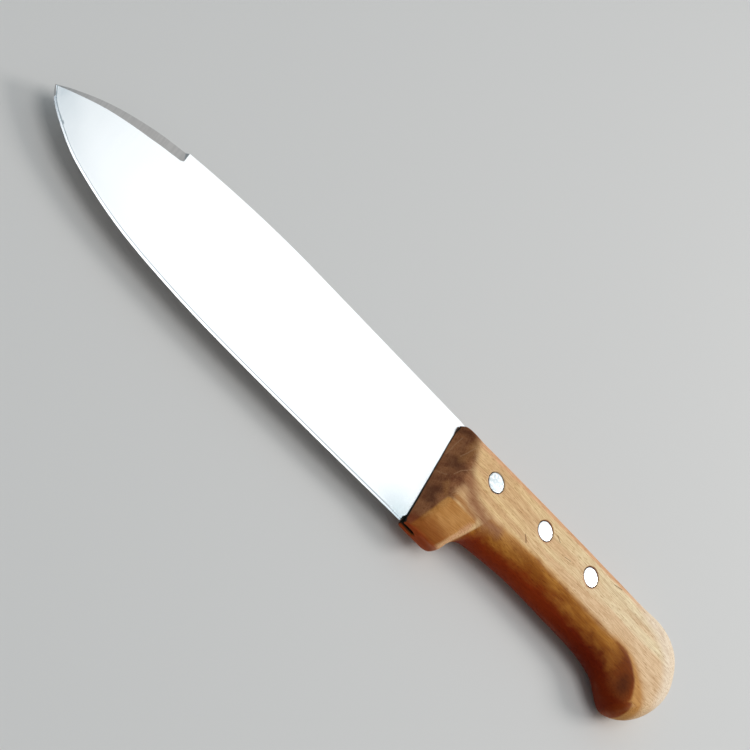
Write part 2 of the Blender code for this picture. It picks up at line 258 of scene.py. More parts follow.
def plain_mesh(name, form):
    """A mesh with nothing but the points and faces of a bmesh."""
    form.verts.index_update()
    points = [vertex.co[:] for vertex in form.verts]
    faces = [[vertex.index for vertex in face.verts] for face in form.faces]
    mesh = bpy.data.meshes.new(name)
    mesh.from_pydata(points, [], faces)
    return mesh


def finish_piece(piece, node_name):
    """Lets a finished piece stand for its CAD node."""
    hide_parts(node_name)
    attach(piece, "root")
    print(piece.name, "has", len(piece.data.polygons), "faces and stands for", node_name)


# %% [markdown]
# The blade is a wide thin wedge: flat ground from the spine to the edge, with a sharpened bevel under a
# millimetre wide and a swedge, a false edge, ground into the spine behind the point. Its CAD mesh has long
# facets, which would show as stripes in polished steel. First the triangles are joined to quads and cut
# across, so that the flats can take a gentle curve.

# %% Refine the blade's flats
FLAT_CUTS = 5
LONG_EDGE = 0.002  # only longer edges are cut
BLADE_END = 0.0022  # the steel that is finished ends this far ahead of the datum
FLAT_TURN = math.radians(3.0)  # triangles that turn by more than this stay apart
MOST_SKEW = math.radians(60.0)  # how far a joined quad may be from a rectangle

blade_form = welded_form("blade")
heel_x = datum.x - BLADE_END
bmesh.ops.join_triangles(
    blade_form,
    faces=blade_form.faces,
    angle_face_threshold=FLAT_TURN,
    angle_shape_threshold=MOST_SKEW,
)
across = [
    edge
    for edge in blade_form.edges
    if all(vertex.co.x < heel_x for vertex in edge.verts)
    and abs(edge.verts[0].co.x - edge.verts[1].co.x) < WELD
    and edge.calc_length() > LONG_EDGE
    and max(len(face.verts) for face in edge.link_faces) == 4
]
print("blade edges cut across the flats:", len(across))

# %% [markdown]
# Where a blade has been ground by hand it rolls over slightly toward the edge, most of all near the point.
# The roll is a little over a tenth of a millimetre at most, and in steel that is enough to darken the
# reflection along the edge. Each point of the flats is moved in by how close it is to the cutting edge,
# which is found as a row of points in the blade's middle plane.

# %% Roll the flats toward the edge
ROLL_WIDTH = 0.011
ROLL_DEPTH = 0.00018
POINT_END = datum.x - 0.12  # where the roll has faded to its least
LEAST_ROLL = 0.25
MOST_TAKEN = 0.4  # share of half the steel's thickness, so that the two sides never meet

middle = datum.z


def on_rim(vertex):
    """Whether a vertex lies on the cutting edge: ahead of the heel and in the blade's middle plane."""
    return abs(vertex.co.z - middle) < WELD and vertex.co.x < heel_x


rim = sorted((vertex.co.copy() for vertex in blade_form.verts if on_rim(vertex)), key=lambda point: point.x)
print("points along the cutting edge:", len(rim))


def edge_distance(point):
    """How far a point is from the cutting edge, seen from the side."""
    flat = Vector((point.x, point.y))
    best = 1.0
    for before, after in zip(rim, rim[1:]):
        start, run = Vector(before[:2]), Vector(after[:2]) - Vector(before[:2])
        along = min(max((flat - start).dot(run) / run.length_squared, 0.0), 1.0)
        best = min(best, (flat - start - along * run).length)
    return best


bmesh.ops.subdivide_edges(blade_form, edges=across, cuts=FLAT_CUTS, use_grid_fill=True)
tip_x = rim[0].x
deepest = 0.0
for vertex in blade_form.verts:
    if vertex.co.x < heel_x and abs(vertex.co.z - middle) > WELD:
        near = max(1.0 - edge_distance(vertex.co) / ROLL_WIDTH, 0.0)
        tipward = min(max((POINT_END - vertex.co.x) / (POINT_END - tip_x), 0.0), 1.0)
        thinned = ROLL_DEPTH * near**2 * (LEAST_ROLL + (1.0 - LEAST_ROLL) * tipward)
        taken = min(thinned, MOST_TAKEN * abs(vertex.co.z - middle))
        vertex.co.z -= math.copysign(taken, vertex.co.z - middle)
        deepest = max(deepest, taken)
print("deepest roll:", round(1000 * deepest, 3), "mm")

# %% [markdown]
# The three kinds of grinding on the blade need three materials, so each face is told apart by how it leans:
# the flats barely, the swedge toward the spine, and the sharpened bevel toward the edge. The borders
# between them stay crisp, and so do the corners of the spine.

# %% Sort the blade's faces
FLAT, SWEDGE, SHARPENED = 0, 1, 2
SWEDGE_END = datum.x - 0.1474
SWEDGE_LEAN = math.radians(1.0)
PLUNGE_LEAN = math.radians(10.0)  # the step at the swedge's rear end faces the point
SHARPENED_LEAN = math.radians(4.0)
STEEP = math.radians(60.0)  # steeper faces are the spine's and the heel's
BEVEL_REACH = 0.0018


def kind_of(face):
    """Flat, swedge or sharpened, by a face's place and lean."""
    normal = face.normal
    lean = math.atan2(math.hypot(normal.x, normal.y), abs(normal.z))
    centre = face.calc_center_median()
    if lean > STEEP or centre.x > heel_x:
        return FLAT
    toward_spine = normal.y > math.sin(SWEDGE_LEAN)
    toward_point = normal.x < -math.sin(PLUNGE_LEAN)
    if centre.x < SWEDGE_END and (toward_spine or toward_point):
        return SWEDGE
    return SHARPENED if lean > SHARPENED_LEAN and edge_distance(centre) < BEVEL_REACH else FLAT


blade_form.normal_update()
kinds = [kind_of(face) for face in blade_form.faces]
blade_mesh = plain_mesh("butcher_blade", blade_form)
blade_form.free()
for face, kind in zip(blade_mesh.polygons, kinds):
    face.material_index = kind
edge_gaps = [min(edge_distance(point.co), BEVEL_REACH) for point in blade_mesh.vertices]
from_edge = blade_mesh.attributes.new("from_edge", "FLOAT", "POINT")
from_edge.data.foreach_set("value", edge_gaps)
print("faces, flat, swedge and sharpened:", [kinds.count(kind) for kind in (FLAT, SWEDGE, SHARPENED)])

# %% [markdown]
# Smooth shading alone would smear the borders between the three kinds of grinding. So an edge is marked
# sharp where the surface turns by more than a few degrees or where the material changes, and the shading
# breaks there.

# %% Shade the blade smooth with crisp borders
CRISP = math.radians(7.0)


def shade_crisp(mesh, angle):
    """Smooth shading, with sharp edges where the surface turns or the material changes."""
    mesh.shade_smooth()
    mesh.set_sharp_from_angle(angle=angle)
    sides = {}
    for face in mesh.polygons:
        for key in face.edge_keys:
            sides.setdefault(key, []).append(face.material_index)
    sharp = mesh.attributes["sharp_edge"]
    for edge in mesh.edges:
        if len(set(sides[edge.key])) > 1:
            sharp.data[edge.index].value = True


shade_crisp(blade_mesh, CRISP)
blade = new_object("butcher_blade", blade_mesh)
print("crisp edges on the blade:", sum(item.value for item in blade_mesh.attributes["sharp_edge"].data))

# %% [markdown]
# Ground steel has fine lines that run with the grinding, here across the blade from edge to spine. A noise
# texture becomes lines when its space is squeezed hard in one direction. The lines vary the colour a
# little, the roughness more, and tilt the surface through a Bump node, which spreads a reflection across
# them. Near the heel the steel is painted a bluish grey, a painted shade that stands in for the darker
# reflection there, and a thin dark line is painted along the inner border of the sharpened bevel.

# %% Make the steels
HEEL_CORNER = (-0.004, -0.052, 0.0)
# painted shade: the steel turns bluish grey near the heel, for the darker reflection there
HEEL_SHADE_REACH = 0.016
HEEL_SHADE_SHARE = 0.55
HEEL_SHADE_COLOUR = (0.50, 0.62, 0.65, 1.0)
BEVEL_LINE_PLACE = 0.00078  # from the edge to the middle of the dark line
BEVEL_LINE_WIDTH = 0.00014
BEVEL_LINE_COLOUR = (0.42, 0.46, 0.48, 1.0)


def knife_space(tree):
    """A surface's place, measured from the knife's datum."""
    return vectors(tree, "SUBTRACT", node(tree, "ShaderNodeTexCoord").outputs["Object"], datum[:])


def grain(tree, space, stretch, detail=3.0, distortion=0.0):
    """Noise whose spots are one over stretch long in each direction, in metres."""
    squeezed = vectors(tree, "MULTIPLY", space, stretch)
    inputs = {"Vector": squeezed, "Scale": 1.0, "Detail": detail, "Distortion": distortion}
    return node(tree, "ShaderNodeTexNoise", inputs).outputs["Fac"]


def ground_steel(name, dark, light, roughness, stretch, depth):
    """Steel with grinding lines: two shades, a range of roughness, the lines' stretch, and their depth."""
    made, tree, shader = new_material(name)
    space = knife_space(tree)
    lines = grain(tree, space, stretch)
    clouds = grain(tree, space, (60.0, 40.0, 60.0), 2.0)
    both = maths(tree, "ADD", maths(tree, "MULTIPLY", lines, 0.7), maths(tree, "MULTIPLY", clouds, 0.3))
    shade = blended(tree, soft_range(tree, both, 0.3, 0.7), (*dark, 1.0), (*light, 1.0))
    # Painted shade near the heel, standing in for a darker reflection.
    to_heel = vectors(tree, "DISTANCE", space, HEEL_CORNER, output="Value")
    shade = blended(tree, soft_range(tree, to_heel, HEEL_SHADE_REACH, 0.0, 0.0, HEEL_SHADE_SHARE), shade, HEEL_SHADE_COLOUR)
    # A thin dark line painted along the inner border of the sharpened bevel.
    edge_gap = node(tree, "ShaderNodeAttribute", attribute_name="from_edge").outputs["Fac"]
    bevel_line = maths(tree, "COMPARE", edge_gap, BEVEL_LINE_PLACE, BEVEL_LINE_WIDTH)
    shade = blended(tree, bevel_line, shade, BEVEL_LINE_COLOUR)
    tree.links.new(shade, shader.inputs["Base Color"])
    tree.links.new(soft_range(tree, both, 0.3, 0.7, *roughness), shader.inputs["Roughness"])
    bump = node(tree, "ShaderNodeBump", {"Height": lines, "Distance": depth, "Strength": 1.0})
    tree.links.new(bump.outputs["Normal"], shader.inputs["Normal"])
    shader.inputs["Metallic"].default_value = 1.0
    return made


STEELS = (
    ("ground_flat", (0.92, 0.93, 0.935), (0.965, 0.97, 0.97), (0.18, 0.24), (2000.0, 22.0, 22.0), 2.4e-6),
    ("ground_swedge", (0.46, 0.425, 0.40), (0.56, 0.515, 0.485), (0.30, 0.38), (1500.0, 60.0, 60.0), 3e-6),
    ("honed_bevel", (0.88, 0.89, 0.90), (0.95, 0.95, 0.96), (0.26, 0.34), (1500.0, 60.0, 60.0), 1e-6),
)
for steel in STEELS:
    blade_mesh.materials.append(ground_steel(*steel))
finish_piece(blade, "blade")

# %% [markdown]
# The handle is sawn, rasped and sanded by hand, so none of its edges is truly sharp. A bevel modifier can't
# round the uneven borders of the sanded ramp and the guard. Instead the CAD copy is remeshed into small
# even squares, which can be smoothed like clay. The saw cut and the drilled holes must stay crisp, so
# points close to the steel keep their places.

# %% Remesh the handle
VOXEL = 0.00056

rough_form = welded_form("handle")
rough = new_object("handle_blank", plain_mesh("handle_blank", rough_form))
rough_form.free()
remesh = rough.modifiers.new("squares", "REMESH")
remesh.mode = "VOXEL"
remesh.voxel_size = VOXEL
handle_mesh = bpy.data.meshes.new_from_object(rough.evaluated_get(bpy.context.evaluated_depsgraph_get()))
handle_mesh.name = "walnut_handle"
bpy.data.objects.remove(rough, do_unlink=True)
print("handle squares:", len(handle_mesh.polygons))

# %% [markdown]
# How much a point may move is a share from 0 to 1. A search tree over the steel gives each point's distance
# from the blade and the rivets, and the share grows with it. The same search could be done with vertex
# groups painted by hand, but a measured distance also holds when a size of the knife changes.

# %% Measure how near the wood is to the steel
CRISP_REACH = 0.0008
SOFT_REACH = 0.0022

steel_form = bmesh.new()
for name in ("blade", *RIVETS):
    steel_form.from_mesh(frame["nodes"][name].data)
steel_tree = BVHTree.FromBMesh(steel_form)
steel_form.free()
count = len(handle_mesh.vertices)
points = np.empty(3 * count)
handle_mesh.vertices.foreach_get("co", points)
points = points.reshape(count, 3)
to_steel = np.array([steel_tree.find_nearest(Vector(point))[3] for point in points])
looseness = np.clip((to_steel - CRISP_REACH) / (SOFT_REACH - CRISP_REACH), 0.0, 1.0)
print("points kept crisp:", int((looseness == 0.0).sum()), "of", count)

# %% [markdown]
# Sanding is the same small step done many times: each point moves halfway to the mean of its neighbours.
# Edges wear first and flats stay flat, as under real sandpaper. Four places were sanded longer: the crest
# of the ramp, the upper border of the guard's facet, the hollow behind the guard, and the facet's rear
# corner. Each is a line on the handle's side, and points near it get more passes.

# %% Sand the handle
MM = 0.001
SANDING_PASSES = 6
SANDING_STRENGTH = 0.5
LONGER_SANDED = (  # where each line starts and ends and how wide it is, in mm from the datum, and its passes
    ((9.0, 0.0), (9.0, -30.0), 5.0, 26),
    ((9.0, -32.5), (19.0, -33.5), 2.5, 16),
    ((24.0, -34.0), (36.0, -31.0), 5.0, 40),
    ((22.0, -33.0), (23.0, -36.0), 2.5, 30),
)

pairs = np.empty(2 * len(handle_mesh.edges), dtype=np.int64)
handle_mesh.edges.foreach_get("vertices", pairs)
left, right = pairs.reshape(-1, 2).T
neighbours = np.bincount(left, minlength=count) + np.bincount(right, minlength=count)


def mean_of_neighbours(values):
    """The mean of each point's neighbours, for one column of values."""
    return (np.bincount(left, values[right], count) + np.bincount(right, values[left], count)) / neighbours


def sand(share, passes):
    """Moves each point toward its neighbours by a share, again and again."""
    for _ in range(passes):
        mean = np.stack([mean_of_neighbours(points[:, axis]) for axis in range(3)], axis=1)
        points[:] += SANDING_STRENGTH * share[:, None] * (mean - points)


def near_line(start, end, width):
    """1 for a point on a line on the handle's side, and less the further from it."""
    run = np.subtract(end, start)
    place = (points[:, :2] - np.array(datum[:2])) / MM - start
    held = np.clip(place @ run / (run @ run), 0.0, 1.0)
    gap = np.linalg.norm(place - held[:, None] * run, axis=1)
    return np.exp(-((gap / width) ** 2))


sand(looseness, SANDING_PASSES)
for start, end, width, passes in LONGER_SANDED:
    sand(looseness * near_line(start, end, width), passes)
    print("sanded", passes, "times more near", start)

# %% [markdown]
# The ramp runs out on the steel, so hardly any of the wood's front face is left above the blade. The blade
# is a wedge, thinner toward its edge, and the wood follows it down. Points near the front come down by a
# share of their height above the blade, which a ray from above finds. At the foot of the guard and at the
# spine the wood stands free again.

# %% Run the ramp out on the blade
FRONT_AT_SPINE = 0.6 * MM
FRONT_LEAN = 0.0555  # how much further forward the front lies for each mm down
RUNOUT = 6 * MM
RUNOUT_SHARE = 0.72
FREE_FOOT = (-51.5 * MM, -48.5 * MM)  # depths where nothing and all of it comes down
FREE_SPINE = (-1.0 * MM, -6.0 * MM)
RAY_HEIGHT = 1.0  # m, well above the knife

behind = points[:, 0] - datum.x - FRONT_AT_SPINE - FRONT_LEAN * (points[:, 1] - datum.y)
shares = RUNOUT_SHARE * np.clip(1.0 - behind / RUNOUT, 0.0, 1.0) ** 2
for nothing, everything in (FREE_FOOT, FREE_SPINE):
    shares *= np.clip((points[:, 1] - datum.y - nothing) / (everything - nothing), 0.0, 1.0)
lowered = 0.0
for i in np.flatnonzero(shares > 0.0):
    ray_start = Vector((datum.x - RUNOUT, points[i, 1], RAY_HEIGHT))
    steel_top = steel_tree.ray_cast(ray_start, Vector((0.0, 0.0, -1.0)))[0]
    if steel_top is not None:
        height = abs(points[i, 2] - datum.z) - (steel_top.z - datum.z)
        drop = shares[i] * max(height, 0.0)
        points[i, 2] -= math.copysign(drop, points[i, 2] - datum.z)
        lowered = max(lowered, drop)
print("points brought down:", int((shares > 0.0).sum()), "by up to", round(1000 * lowered, 2), "mm")

# %% [markdown]
# Three touches bring the front closer to the real knife. Below the spine the wood's front lies up to a
# millimetre further back, worn by years of wiping. At the spine the ramp keeps a full corner, so the steel
# behind it stays covered. The guard's underside lost some depth in the sanding and gets it back, down to
# the depth of the CAD handle.

# %% Touch up the corner, the front and the guard
SET_BACK = 1.05 * MM
SET_BACK_DEPTHS = (-8 * MM, -40 * MM)  # where the front starts to lie back and where it lies back fully
SET_BACK_LENGTH = 9 * MM
CORNER = np.array([2.0, -1.0]) * MM  # behind and below the datum
CORNER_SIZE = np.array([5.0, 4.0]) * MM
CORNER_LIFT = 1.1 * MM
CORNER_RISE = 0.7 * MM
CORNER_FOOT = -6 * MM  # the corner rises only above this depth
GUARD_TOP, GUARD_REAR = -38 * MM, 30 * MM  # only what is below and ahead of these gets depth back

place = points[:, :2] - np.array(datum[:2])
nothing, everything = SET_BACK_DEPTHS
laid_back = np.clip((place[:, 1] - nothing) / (everything - nothing), 0.0, 1.0)
laid_back *= np.clip(1.0 - np.maximum(behind, 0.0) / SET_BACK_LENGTH, 0.0, 1.0) ** 2
corner = np.exp(-((((place - CORNER) / CORNER_SIZE) ** 2).sum(axis=1))) * looseness
points[:, 2] += CORNER_LIFT * corner * np.sign(points[:, 2] - datum.z)
points[:, 1] += CORNER_RISE * corner * (place[:, 1] > CORNER_FOOT)
points[:, 0] += SET_BACK * laid_back
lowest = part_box("handle")[0][1]
lost = points[:, 1].min() - lowest
below_top = np.clip((GUARD_TOP - place[:, 1]) / (GUARD_TOP + datum.y - lowest), 0.0, 1.0)
points[:, 1] -= lost * below_top * (place[:, 0] < GUARD_REAR)
print("the guard gets back", round(1000 * lost, 2), "mm of depth")

# %% [markdown]
# A hand-held rasp leaves a surface that is never quite even. A slow noise moves the points in and out by
# less than a tenth of a millimetre, longer along the handle than across it. That bends every highlight a
# little, which a bump map can't do at the outline.

# %% Leave the rasp's unevenness
RASP_DEPTH = 0.00007
RASP_STRETCH = Vector((70.0, 160.0, 160.0))

handle_mesh.vertices.foreach_set("co", points.ravel())
handle_mesh.update()
outward = np.empty(3 * count)
handle_mesh.vertices.foreach_get("normal", outward)
outward = outward.reshape(count, 3)
waves = np.array([noise.noise(Vector(point) * RASP_STRETCH) for point in points])
points += (RASP_DEPTH * looseness * waves)[:, None] * outward
low, high = (np.array(corner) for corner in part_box("handle"))
points = np.clip(points, low, high)
handle_mesh.vertices.foreach_set("co", points.ravel())
handle_mesh.update()
handle_mesh.shade_smooth()
print("uneven by up to", round(1000 * RASP_DEPTH * float(np.abs(waves).max()), 3), "mm")

# %% [markdown]
# The convex edges are paler, partly because wear rubs the oil off and partly as a painted highlight where
# they catch the light. How much a point stands out from its neighbours gives its curvature. It is kept with
# the mesh as an attribute, one number a point, which the wood's material reads.

# %% Measure the wear and the lit edges
WEAR_RADIUS = 0.0015  # an edge as round as this counts as fully worn
WEAR_BLURS = 2
WORN = 0.3  # from here on a point is counted as worn

outstanding = np.zeros(count)
for axis in range(3):
    outstanding += (points[:, axis] - mean_of_neighbours(points[:, axis])) * outward[:, axis]
wear_and_edge_light = np.clip(outstanding * 4 * WEAR_RADIUS / VOXEL**2, -1.0, 1.0)
for _ in range(WEAR_BLURS):
    wear_and_edge_light = 0.5 * wear_and_edge_light + 0.5 * mean_of_neighbours(wear_and_edge_light)
attribute = handle_mesh.attributes.new("wear_and_edge_light", "FLOAT", "POINT")
attribute.data.foreach_set("value", wear_and_edge_light)
handle = new_object("walnut_handle", handle_mesh)
finish_piece(handle, "handle")
print("worn points:", int((wear_and_edge_light > WORN).sum()))

# %% [markdown]
# Walnut shows long fibres, and here they run straight from the blade to the pommel. Four sizes of stretched
# noise make them: broad bands of colour, streaks, fibres, and pores that look like short dark dashes. A
# slow wander of the space keeps the lines from being ruled. The same noises also drive roughness and bump,
# so that a dark pore is a real pit.

# %% Grow the grain
WANDER = (0.0, 0.006, 0.006)

wood, wood_tree, wood_shader = new_material("oiled_walnut")
wood_space = knife_space(wood_tree)


def wandering(scale, detail, size):
    """An offset of up to a size, in metres, that wanders from place to place."""
    inputs = {"Vector": wood_space, "Scale": scale, "Detail": detail}
    drift = node(wood_tree, "ShaderNodeTexNoise", inputs).outputs["Color"]
    return vectors(wood_tree, "MULTIPLY", vectors(wood_tree, "SUBTRACT", drift, (0.5, 0.5, 0.5)), size)


fibre_space = vectors(wood_tree, "ADD", wood_space, wandering(22.0, 1.0, WANDER))
bands = grain(wood_tree, fibre_space, (14.0, 210.0, 210.0), 2.0)
streaks = grain(wood_tree, fibre_space, (40.0, 850.0, 850.0), 3.0)
fibres = grain(wood_tree, fibre_space, (130.0, 3400.0, 3400.0), 2.0)
pores = soft_range(wood_tree, grain(wood_tree, fibre_space, (330.0, 3600.0, 3600.0), 1.0), 0.60, 0.72)
print("wood nodes so far:", len(wood_tree.nodes))

# %% [markdown]
# Colours are picked from a screen, as three numbers up to 255. Shaders count in linear light
# instead, so one function turns the first into the second. The sanded flats are tan at the front and cream
# at the pommel, with rosy bands between.

# %% Colour the sanded flats
def srgb(red, green, blue):
    """A colour as picked from a screen, 0 to 255, turned into the linear values that shaders use."""
    shares = (value / 255 for value in (red, green, blue))
    return (*(s / 12.92 if s <= 0.04045 else ((s + 0.055) / 1.055) ** 2.4 for s in shares), 1.0)


def mixed(share, first, second):
    """Two colours of wood mixed by a share."""
    return blended(wood_tree, share, first, second)


along, upward, thick = node(wood_tree, "ShaderNodeSeparateXYZ", {0: wood_space}).outputs
backward = soft_range(wood_tree, along, 10 * MM, 125 * MM)
tan_wood = mixed(backward, srgb(250, 212, 155), srgb(255, 233, 192))
rosy_wood = mixed(backward, srgb(235, 191, 139), srgb(244, 208, 166))
# Below the middle of the flat the bands are pushed rosier, more toward the pommel: a painted falloff of light
# where the flat turns gently away.
shade_below_middle = soft_range(wood_tree, upward, -10 * MM, -16 * MM, -0.5, 0.5)
toward_pommel = soft_range(wood_tree, along, 45 * MM, 85 * MM, 0.06, 0.28)
bands_and_shade = maths(wood_tree, "ADD", bands, maths(wood_tree, "MULTIPLY", shade_below_middle, toward_pommel))
flat_wood = mixed(soft_range(wood_tree, bands_and_shade, 0.38, 0.62), tan_wood, rosy_wood)
dark_streaks = soft_range(wood_tree, streaks, 0.50, 0.75)
flat_wood = mixed(maths(wood_tree, "MULTIPLY", dark_streaks, 0.32), flat_wood, srgb(184, 136, 88))
print("wood nodes so far:", len(wood_tree.nodes))

# %% [markdown]
# The handle isn't one colour. The flats are pale from sanding, the belly is golden brown and then deep red
# as it turns under, partly oil soaked into the curve and partly painted shade where it turns from the light,
# the guard keeps a golden facet, and the ramp behind the blade is a rough brown. The surface's own
# direction tells most zones apart. Where two zones face the same way, a line on the side of the handle
# does, level or slanted. Noise on the borders keeps them uneven.

# %% Tell the zones apart
GUARD_LINE = (0.475, 40.0)  # a line's slope, and the place in mm where it crosses the spine
FACET_LINE = (0.341, 18.0)
HOOK_LINE = (-0.3, 113.9)
GUARD_BORDER = (0.6, -0.3)  # a border in mm: where a zone starts, where it is full, and how ragged that is
GUARD_FOOT = (-38.0, -44.0)
FACET_REAR = (-0.8, -3.0, 0.5)
FACET_FRONT = (-0.5, 0.7, 0.4)
FACET_TOP = (-33.0, -34.4, 0.4)
HOOK_END = (0.9, -0.7, 0.8)
SOAKED_AND_SHADED_TOP = (-22.9, -25.5, 1.6)
SOAKED_AND_SHADED_END = (110.0, 106.0)
GLAZED_TOP = (-21.6, -24.4, 2.0)
GLAZED_START = (28.0, 38.0)
GLAZED_END = (108.0, 98.0)
BELLY_START = (-0.3, 0.8)
BORDER_BEND = 55 * MM  # ahead of this the belly's upper border drops toward the guard
BORDER_SLOPE = 0.12

facing = node(wood_tree, "ShaderNodeTexCoord").outputs["Normal"]
facing_x, facing_y = node(wood_tree, "ShaderNodeSeparateXYZ", {0: facing}).outputs[:2]
downward = maths(wood_tree, "MULTIPLY", facing_y, -1.0)
forward = maths(wood_tree, "MULTIPLY", facing_x, -1.0)
blotches = grain(wood_tree, wood_space, (170.0, 260.0, 260.0), 3.0)
uneven = maths(wood_tree, "SUBTRACT", blotches, 0.5)
cross_scratches = grain(wood_tree, wood_space, (2200.0, 170.0, 900.0), 2.0)


def past(value, start, end, ragged=0.0):
    """0 at the start and 1 at the end of a border, which noise can make ragged."""
    return soft_range(wood_tree, maths(wood_tree, "MULTIPLY_ADD", uneven, ragged, value), start, end)


def border(value, start, end, ragged=0.0):
    """The same border with its places in mm."""
    return past(value, start * MM, end * MM, ragged * MM)


def slanted(slope, level):
    """How far a point lies behind a slanted line that crosses the handle's spine at a level in mm."""
    return maths(wood_tree, "SUBTRACT", maths(wood_tree, "MULTIPLY_ADD", upward, -slope, along), level * MM)


def both(*shares):
    """Shares multiplied: only where all of them hold."""
    result = shares[0]
    for share in shares[1:]:
        result = maths(wood_tree, "MULTIPLY", result, share)
    return result


# The side that faces the spine and the light is painted paler: a painted highlight.
spine_light_share = past(facing_y, -0.02, 0.36, 0.24)
guard_back = slanted(*GUARD_LINE)
on_guard = border(guard_back, *GUARD_BORDER)
facet_share = both(
    border(guard_back, *FACET_REAR),
    border(slanted(*FACET_LINE), *FACET_FRONT),
    border(upward, *FACET_TOP),
)
under_guard = both(on_guard, past(downward, 0.50, 0.75, 0.1), border(upward, *GUARD_FOOT))
before_hook_end = border(slanted(*HOOK_LINE), *HOOK_END)
before_bend = maths(wood_tree, "MAXIMUM", maths(wood_tree, "SUBTRACT", BORDER_BEND, along), 0.0)
over_border = maths(wood_tree, "MULTIPLY_ADD", before_bend, BORDER_SLOPE, upward)
soaked_and_shaded = both(border(over_border, *SOAKED_AND_SHADED_TOP), border(along, *SOAKED_AND_SHADED_END))
glazed = both(border(over_border, *GLAZED_TOP), border(along, *GLAZED_END), border(along, *GLAZED_START))
belly_share = maths(wood_tree, "MAXIMUM", past(downward, 0.06, 0.36, 0.16), soaked_and_shaded)
belly_share = both(belly_share, border(guard_back, *BELLY_START), before_hook_end)
print("wood nodes so far:", len(wood_tree.nodes))

# %% [markdown]
# The pommel's hook is darker still, and its dark inner side ends at a crease that is a round arc. A
# distance from the arc's middle tells inside from outside. The ramp is told by a line too: its crest lies
# 7.5 mm behind the blade at the spine, 10 mm in the middle, and less again toward the guard.

# %% Mark the hook and the ramp
HOOK_MIDDLE = (109.2 * MM, -38.6 * MM, 0.0)
HOOK_RADIUS = 15.3 * MM
POMMEL_MIDDLE = (118 * MM, -25 * MM, 0.0)
CREST_AT_SPINE = 7.5 * MM
CREST_BULGE = 2.6 * MM
CREST_WAIST = 2.5 * MM

side_place = vectors(wood_tree, "MULTIPLY", wood_space, (1.0, 1.0, 0.0))
from_hook = vectors(wood_tree, "DISTANCE", side_place, HOOK_MIDDLE, output="Value")
inside_arc = past(from_hook, HOOK_RADIUS + 0.8 * MM, HOOK_RADIUS - 0.9 * MM, 1.2 * MM)
belly_share = maths(wood_tree, "MAXIMUM", belly_share, both(inside_arc, border(along, 104, 107)))
hook_share = border(along, 102, 117, 7)
from_gold = maths(wood_tree, "MULTIPLY_ADD", upward, 0.4, maths(wood_tree, "ADD", from_hook, 12 * MM))
gold_share = past(from_gold, HOOK_RADIUS + 7 * MM, HOOK_RADIUS + 1.5 * MM, 2 * MM)
tanned_share = both(past(from_gold, HOOK_RADIUS + 13 * MM, HOOK_RADIUS + 4 * MM), 0.3)
from_pommel = vectors(wood_tree, "DISTANCE", side_place, POMMEL_MIDDLE, output="Value")
# A paler rim around the pommel's end: a painted highlight.
rim_highlight_share = both(border(from_pommel, 16, 22), border(along, 108, 122), border(upward, -36, -28))

bulge = border(upward, -5, -20)
waist = border(upward, -22, -34)
crest_line = maths(wood_tree, "MULTIPLY_ADD", waist, -CREST_WAIST, CREST_AT_SPINE)
crest_line = maths(wood_tree, "MULTIPLY_ADD", bulge, CREST_BULGE, crest_line)
ramp_share = border(maths(wood_tree, "SUBTRACT", along, crest_line), 3.2, -2.2, 3.0)
# The handle's front face, which gets a painted shadow below.
front_shadow_share = past(forward, 0.86, 0.93)
print("wood nodes so far:", len(wood_tree.nodes))

# %% [markdown]
# Hand work leaves marks that no noise would put in the right place: scratches, stains and bare patches on
# the ramp, clouds where the grain rises to the surface, and small cracks in the flat. Each is a line on the
# side of the handle with a width, and a point's distance from that line gives a soft stroke. These are on
# the upper side only, because the other side has its own wear. The guard's paler rim, partly rubbed and
# partly a painted highlight, and the soft border of its facet are on both.

# %% Draw the marks of hand work
upper_side = border(thick, 0, 1)
frayed = wandering(260.0, 2.0, (1.0, 1.0, 0.0))


def stroke(start, end, width, fraying=0.0, softness=0.6):
    """1 along a line on the handle's side, in mm from the datum, and 0 past its width."""
    first = Vector((*start, 0.0)) * MM
    run = Vector((*end, 0.0)) * MM - first
    shaken = vectors(wood_tree, "MULTIPLY_ADD", frayed, (fraying * MM,) * 3, side_place)
    offset = vectors(wood_tree, "SUBTRACT", shaken, first[:])
    share = vectors(wood_tree, "DOT_PRODUCT", offset, (run / run.length_squared)[:], output="Value")
    held = node(wood_tree, "ShaderNodeClamp", {0: share}).outputs[0]
    gap = vectors(wood_tree, "DISTANCE", offset, vectors(wood_tree, "MULTIPLY", held, run[:]), output="Value")
    return soft_range(wood_tree, gap, width * MM, width * (1 - softness) * MM)


def strokes(marks, *settings):
    """The strongest of several strokes."""
    result = stroke(*marks[0], *settings)
    for mark in marks[1:]:
        result = maths(wood_tree, "MAXIMUM", result, stroke(*mark, *settings))
    return result


SCRATCHES = (
    ((0.7, -16.1), (2.7, -6.4), 0.26),
    ((4.3, -15.1), (7.4, -8.5), 0.26),
    ((4.8, -23.9), (6.6, -20.8), 0.28),
    ((6.6, -20.8), (10.3, -17.4), 0.28),
    ((0.5, -24.9), (3.0, -25.2), 0.28),
)
CLOUDS = (
    ((11.0, -22.5), (16.0, -27.0), 6.5),
    ((17.0, -28.0), (26.0, -30.5), 6.2),
    ((26.0, -30.5), (33.0, -29.0), 4.2),
)
STAINS = (
    ((4.0, -18.0), (6.0, -20.5), 4.0),
    ((1.5, -33.0), (2.5, -38.0), 3.4),
    ((1.0, -3.5), (3.5, -3.5), 3.0),
)
BARE_PATCHES = (
    ((5.5, -16.0), (8.0, -6.5), 3.4),
    ((4.5, -29.0), (5.5, -33.0), 2.2),
)
DARK_SPOTS = (((119.0, -34.0), (119.5, -36.5), 5.0),)
